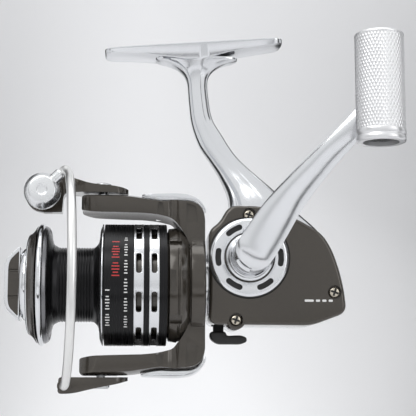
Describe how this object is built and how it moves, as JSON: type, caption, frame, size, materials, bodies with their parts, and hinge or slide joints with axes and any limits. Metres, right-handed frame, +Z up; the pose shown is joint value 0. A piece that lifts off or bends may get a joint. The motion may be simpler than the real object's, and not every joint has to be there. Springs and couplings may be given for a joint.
{
  "type": "spinning reel",
  "caption": "Front-drag spinning fishing reel with foot and stem, side handle, rotor with wire bail and line roller, and slotted spool.",
  "frame": {"origin": "middle of the foot's seat, where the reel is held against a rod", "axes": "+X to the rear along the spool's axis, +Z up towards the rod, -Y the handle side"},
  "size_m": [0.1228, 0.0848, 0.1209],
  "materials": {
    "polished_aluminium": "polished casting",
    "chrome": "bright chrome plate",
    "bronze_plastic": "dark bronze gloss lacquer",
    "black_plastic": "satin black",
    "black_anodised": "black anodised, satin",
    "steel": "machined",
    "brass": "machined",
    "zinc": "die-cast zinc",
    "knurled_aluminium": "knurled, matt silver",
    "felt": "oiled felt"
  },
  "bodies": {
    "body": {"body_frame": "polished_aluminium", "side_cover": "bronze_plastic", "cover_ring": "chrome", "cover_screw_1": "brass", "cover_screw_2": "brass", "cover_screw_3": "brass", "bearing_handle_side": "steel", "bearing_far_side": "steel", "pinion_bearing": "steel", "one_way_clutch": "steel", "clutch_retainer": "black_plastic", "guide_rod": "steel"},
    "anti_reverse": {"anti_reverse_lever": "black_plastic"},
    "handle": {"drive_gear": "zinc", "handle_shaft": "steel", "handle_lock_cap": "chrome", "hub_collar": "chrome", "handle_hub": "chrome", "handle_arm": "chrome", "fold_pin": "steel", "knob_pin": "steel", "knob_washer": "chrome"},
    "knob": {"knob_grip": "knurled_aluminium", "knob_cap_lower": "black_plastic", "knob_cap_upper": "black_plastic"},
    "oscillator": {"oscillation_gear": "zinc"},
    "shaft": {"main_shaft": "steel", "oscillation_slider": "brass", "slider_screw": "steel", "spool_seat": "steel"},
    "spool": {"spool": "black_anodised", "spool_lip_front": "chrome", "spool_lip_rear": "chrome", "click_gear": "black_plastic", "drag_washer_1": "felt", "drag_washer_2": "steel", "drag_washer_3": "felt", "drag_clip": "steel"},
    "drag": {"drag_knob": "bronze_plastic", "drag_knob_rim": "chrome", "drag_nut": "brass", "drag_spring": "steel"},
    "rotor": {"rotor": "bronze_plastic", "pinion_gear": "brass", "rotor_nut": "steel", "rotor_cover_upper": "polished_aluminium", "rotor_cover_lower": "polished_aluminium", "bail_screw_upper": "steel", "bail_screw_lower": "steel", "bail_spring": "steel", "trip_lever": "black_plastic"},
    "bail": {"bail_arm": "bronze_plastic", "bail_lever": "bronze_plastic", "bail_wire": "chrome", "roller_cap": "chrome", "roller_screw": "steel"},
    "line_roller": {"line_roller": "chrome"}
  },
  "joints": [
    {"name": "handle_turn", "type": "hinge", "parent": "body", "child": "handle", "pos_m": [0.0179, 0, -0.0744], "axis": [0, 1, 0], "continuous": true},
    {"name": "knob_spin", "type": "hinge", "parent": "handle", "child": "knob", "pos_m": [0.05202, -0.05, -0.03242], "axis": [0, 1, 0], "continuous": true},
    {"name": "rotor_turn", "type": "hinge", "parent": "body", "child": "rotor", "pos_m": [0, 0, -0.0826], "axis": [1, 0, 0], "continuous": true},
    {"name": "oscillator_turn", "type": "hinge", "parent": "body", "child": "oscillator", "pos_m": [0.0277, 0, -0.0837], "axis": [0, 1, 0], "continuous": true},
    {"name": "spool_stroke", "type": "slide", "parent": "body", "child": "shaft", "axis": [-1, 0, 0], "range_m": [0, 0.009]},
    {"name": "spool_slip", "type": "hinge", "parent": "shaft", "child": "spool", "pos_m": [-0.03, 0, -0.0826], "axis": [1, 0, 0], "continuous": true},
    {"name": "drag_knob_turn", "type": "hinge", "parent": "shaft", "child": "drag", "pos_m": [-0.057, 0, -0.0826], "axis": [1, 0, 0], "range_deg": [-360, 360]},
    {"name": "bail_flip", "type": "hinge", "parent": "rotor", "child": "bail", "pos_m": [-0.0305, 0, -0.0826], "axis": [0, 0, -1], "range_deg": [0, 100]},
    {"name": "line_roller_spin", "type": "hinge", "parent": "bail", "child": "line_roller", "pos_m": [-0.0502, -0.0055, -0.0523], "axis": [0, 1, 0], "continuous": true},
    {"name": "anti_reverse_switch", "type": "hinge", "parent": "body", "child": "anti_reverse", "pos_m": [0.0085, 0, -0.0909], "axis": [1, 0, 0], "range_deg": [-12, 12]}
  ],
  "couplings": [
    {"joint": "rotor_turn", "follows": "handle_turn", "ratio": -5.2},
    {"joint": "oscillator_turn", "follows": "handle_turn", "ratio": -0.44444}
  ]
}
